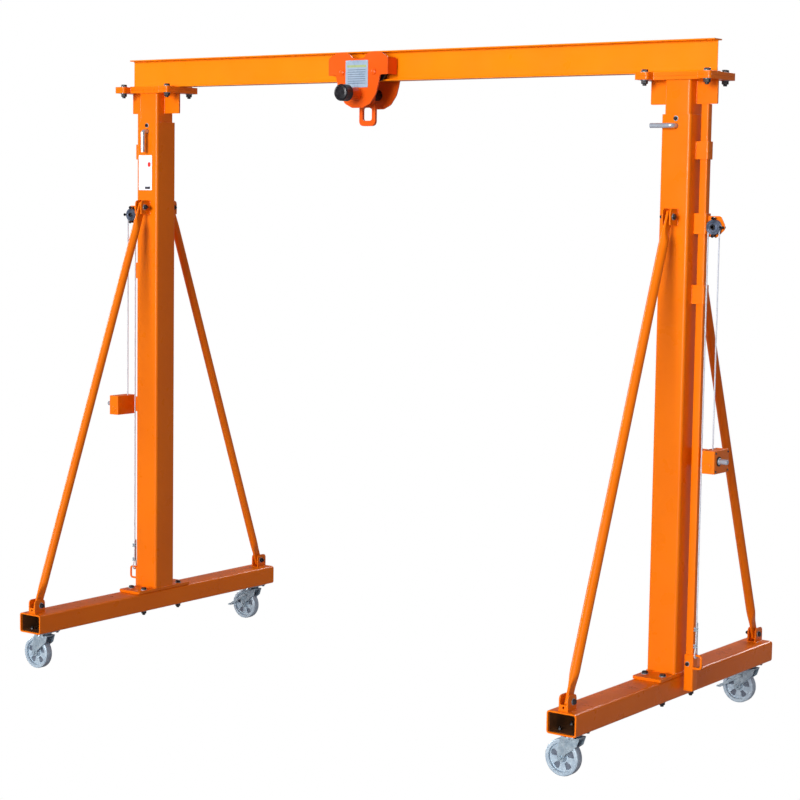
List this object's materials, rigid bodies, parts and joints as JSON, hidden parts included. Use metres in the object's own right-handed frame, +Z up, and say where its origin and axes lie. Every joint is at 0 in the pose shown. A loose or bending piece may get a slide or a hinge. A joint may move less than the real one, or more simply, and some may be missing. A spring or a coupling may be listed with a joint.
{
  "type": "portable gantry crane",
  "caption": "Height-adjustable portable gantry crane: an I-beam on two telescoping A-frame legs with worm winches, swivel casters and a push trolley with a load bail.",
  "frame": {"origin": "on the floor under the middle of the beam, with the crane at its lowest height", "axes": "+X along the beam towards the right leg, +Y along the base beams towards the rear casters, +Z up"},
  "size_m": [4.128, 2.05, 3.468],
  "materials": {
    "orange_paint": "glossy powder coat",
    "trolley_paint": "satin paint",
    "zinc": "bright zinc plate",
    "chrome": "polished",
    "black_steel": "black oxide, satin",
    "wheel_grey": "zinc-grey, machined tread",
    "wire_rope": "galvanised strand",
    "label_plastic": "gloss, blank"
  },
  "bodies": {
    "right_leg": {"right_base_beam": "orange_paint", "right_post": "orange_paint", "right_front_brace": "orange_paint", "right_rear_brace": "orange_paint", "right_pulley_bracket": "orange_paint", "right_drum_rope": "wire_rope", "right_lift_rope": "wire_rope", "right_winch_housing": "orange_paint", "right_front_caster_plate": "zinc", "right_rear_caster_plate": "zinc"},
    "lift_frame": {"i_beam": "orange_paint", "right_inner_post": "orange_paint", "right_sole_plate": "orange_paint", "right_push_tube": "orange_paint", "right_rope_eye": "wire_rope", "left_inner_post": "orange_paint", "left_sole_plate": "orange_paint", "left_push_tube": "orange_paint", "left_rope_eye": "wire_rope"},
    "left_leg": {"left_base_beam": "orange_paint", "left_post": "orange_paint", "left_front_brace": "orange_paint", "left_rear_brace": "orange_paint", "left_pulley_bracket": "orange_paint", "left_drum_rope": "wire_rope", "left_lift_rope": "wire_rope", "left_winch_housing": "orange_paint", "left_front_caster_plate": "zinc", "left_rear_caster_plate": "zinc"},
    "right_pulley_body": {"right_pulley": "zinc"},
    "right_drum": {"right_winch_drum": "black_steel"},
    "right_worm": {"right_winch_shaft": "chrome"},
    "right_pin": {"right_lock_pin": "chrome"},
    "right_front_caster": {"right_front_caster_fork": "zinc", "right_front_caster_axle": "zinc"},
    "right_front_wheel": {"right_front_caster_wheel": "wheel_grey"},
    "right_rear_caster": {"right_rear_caster_fork": "zinc", "right_rear_caster_axle": "zinc"},
    "right_rear_wheel": {"right_rear_caster_wheel": "wheel_grey"},
    "right_rear_brake": {"right_rear_brake_pedal": "zinc"},
    "left_pulley_body": {"left_pulley": "zinc"},
    "left_drum": {"left_winch_drum": "black_steel"},
    "left_worm": {"left_winch_shaft": "chrome"},
    "left_pin": {"left_lock_pin": "chrome"},
    "left_front_caster": {"left_front_caster_fork": "zinc", "left_front_caster_axle": "zinc"},
    "left_front_wheel": {"left_front_caster_wheel": "wheel_grey"},
    "left_rear_caster": {"left_rear_caster_fork": "zinc", "left_rear_caster_axle": "zinc"},
    "left_rear_wheel": {"left_rear_caster_wheel": "wheel_grey"},
    "left_rear_brake": {"left_rear_brake_pedal": "zinc"},
    "trolley": {"trolley_front_plate": "trolley_paint", "trolley_rear_plate": "trolley_paint", "trolley_shaft": "black_steel", "trolley_label_plate": "label_plastic"},
    "trolley_front_right_wheel_body": {"trolley_front_right_wheel": "black_steel"},
    "trolley_front_left_wheel_body": {"trolley_front_left_wheel": "black_steel"},
    "trolley_rear_right_wheel_body": {"trolley_rear_right_wheel": "black_steel"},
    "trolley_rear_left_wheel_body": {"trolley_rear_left_wheel": "black_steel"},
    "bail": {"trolley_bail": "trolley_paint"}
  },
  "joints": [
    {"name": "lift", "type": "slide", "parent": "right_leg", "child": "lift_frame", "axis": [0, 0, 1], "range_m": [0, 1.5], "deforming": ["right_lift_rope"]},
    {"name": "left_lift", "type": "slide", "parent": "lift_frame", "child": "left_leg", "axis": [0, 0, -1], "range_m": [0, 1.5], "deforming": ["left_lift_rope"]},
    {"name": "right_pulley_turn", "type": "hinge", "parent": "right_leg", "child": "right_pulley_body", "pos_m": [1.926, -0.01, 2.562], "axis": [0, 1, 0], "range_deg": [0, 2866]},
    {"name": "right_drum_turn", "type": "hinge", "parent": "right_leg", "child": "right_drum", "pos_m": [1.98, -0.01, 1.402], "axis": [0, -1, 0], "range_deg": [0, 3582]},
    {"name": "right_worm_turn", "type": "hinge", "parent": "right_leg", "child": "right_worm", "pos_m": [1.98, -0.06, 1.429], "axis": [1, 0, 0], "range_deg": [0, 71622]},
    {"name": "right_pin_slide", "type": "slide", "parent": "right_leg", "child": "right_pin", "axis": [0, 1, 0], "range_m": [0, 0.02]},
    {"name": "right_front_swivel", "type": "hinge", "parent": "right_leg", "child": "right_front_caster", "pos_m": [1.74, -0.91, 0.206], "axis": [0, 0, 1], "continuous": true},
    {"name": "right_front_roll", "type": "hinge", "parent": "right_front_caster", "child": "right_front_wheel", "pos_m": [1.688, -0.91, 0.09], "axis": [0, 1, 0], "continuous": true},
    {"name": "right_rear_swivel", "type": "hinge", "parent": "right_leg", "child": "right_rear_caster", "pos_m": [1.74, 0.91, 0.206], "axis": [0, 0, 1], "continuous": true},
    {"name": "right_rear_roll", "type": "hinge", "parent": "right_rear_caster", "child": "right_rear_wheel", "pos_m": [1.688, 0.91, 0.09], "axis": [0, 1, 0], "continuous": true},
    {"name": "right_rear_brake_press", "type": "hinge", "parent": "right_rear_caster", "child": "right_rear_brake", "pos_m": [1.71, 0.91, 0.15], "axis": [0, -1, 0], "range_deg": [0, 4.5]},
    {"name": "left_pulley_turn", "type": "hinge", "parent": "left_leg", "child": "left_pulley_body", "pos_m": [-1.926, -0.01, 2.562], "axis": [0, -1, 0], "range_deg": [0, 2866]},
    {"name": "left_drum_turn", "type": "hinge", "parent": "left_leg", "child": "left_drum", "pos_m": [-1.98, -0.01, 1.402], "axis": [0, 1, 0], "range_deg": [0, 3582]},
    {"name": "left_worm_turn", "type": "hinge", "parent": "left_leg", "child": "left_worm", "pos_m": [-1.98, -0.06, 1.429], "axis": [-1, 0, 0], "range_deg": [0, 71622]},
    {"name": "left_pin_slide", "type": "slide", "parent": "left_leg", "child": "left_pin", "axis": [0, 1, 0], "range_m": [0, 0.02]},
    {"name": "left_front_swivel", "type": "hinge", "parent": "left_leg", "child": "left_front_caster", "pos_m": [-1.74, -0.91, 0.206], "axis": [0, 0, 1], "continuous": true},
    {"name": "left_front_roll", "type": "hinge", "parent": "left_front_caster", "child": "left_front_wheel", "pos_m": [-1.792, -0.91, 0.09], "axis": [0, 1, 0], "continuous": true},
    {"name": "left_rear_swivel", "type": "hinge", "parent": "left_leg", "child": "left_rear_caster", "pos_m": [-1.74, 0.91, 0.206], "axis": [0, 0, 1], "continuous": true},
    {"name": "left_rear_roll", "type": "hinge", "parent": "left_rear_caster", "child": "left_rear_wheel", "pos_m": [-1.792, 0.91, 0.09], "axis": [0, 1, 0], "continuous": true},
    {"name": "left_rear_brake_press", "type": "hinge", "parent": "left_rear_caster", "child": "left_rear_brake", "pos_m": [-1.77, 0.91, 0.15], "axis": [0, -1, 0], "range_deg": [0, 4.5]},
    {"name": "trolley_travel", "type": "slide", "parent": "lift_frame", "child": "trolley", "axis": [1, 0, 0], "range_m": [-1.184, 1.556]},
    {"name": "trolley_front_right_roll", "type": "hinge", "parent": "trolley", "child": "trolley_front_right_wheel_body", "pos_m": [-0.079, 0, 3.3533], "axis": [0, 1, 0], "range_deg": [-1786, 2347]},
    {"name": "trolley_front_left_roll", "type": "hinge", "parent": "trolley", "child": "trolley_front_left_wheel_body", "pos_m": [-0.293, 0, 3.3533], "axis": [0, 1, 0], "range_deg": [-1786, 2347]},
    {"name": "trolley_rear_right_roll", "type": "hinge", "parent": "trolley", "child": "trolley_rear_right_wheel_body", "pos_m": [-0.079, 0, 3.3533], "axis": [0, 1, 0], "range_deg": [-1786, 2347]},
    {"name": "trolley_rear_left_roll", "type": "hinge", "parent": "trolley", "child": "trolley_rear_left_wheel_body", "pos_m": [-0.293, 0, 3.3533], "axis": [0, 1, 0], "range_deg": [-1786, 2347]},
    {"name": "bail_swing", "type": "hinge", "parent": "trolley", "child": "bail", "pos_m": [-0.186, 0, 3.238], "axis": [0, 1, 0], "range_deg": [-60, 60]}
  ],
  "couplings": [
    {"joint": "left_lift", "follows": "lift", "ratio": 1},
    {"joint": "right_pulley_turn", "follows": "lift", "rad_per_m": 33.333},
    {"joint": "right_drum_turn", "follows": "lift", "rad_per_m": 41.667},
    {"joint": "right_worm_turn", "follows": "lift", "rad_per_m": 833.33},
    {"joint": "left_pulley_turn", "follows": "lift", "rad_per_m": 33.333},
    {"joint": "left_drum_turn", "follows": "lift", "rad_per_m": 41.667},
    {"joint": "left_worm_turn", "follows": "lift", "rad_per_m": 833.33},
    {"joint": "trolley_front_right_roll", "follows": "trolley_travel", "rad_per_m": 26.316},
    {"joint": "trolley_front_left_roll", "follows": "trolley_travel", "rad_per_m": 26.316},
    {"joint": "trolley_rear_right_roll", "follows": "trolley_travel", "rad_per_m": 26.316},
    {"joint": "trolley_rear_left_roll", "follows": "trolley_travel", "rad_per_m": 26.316}
  ]
}
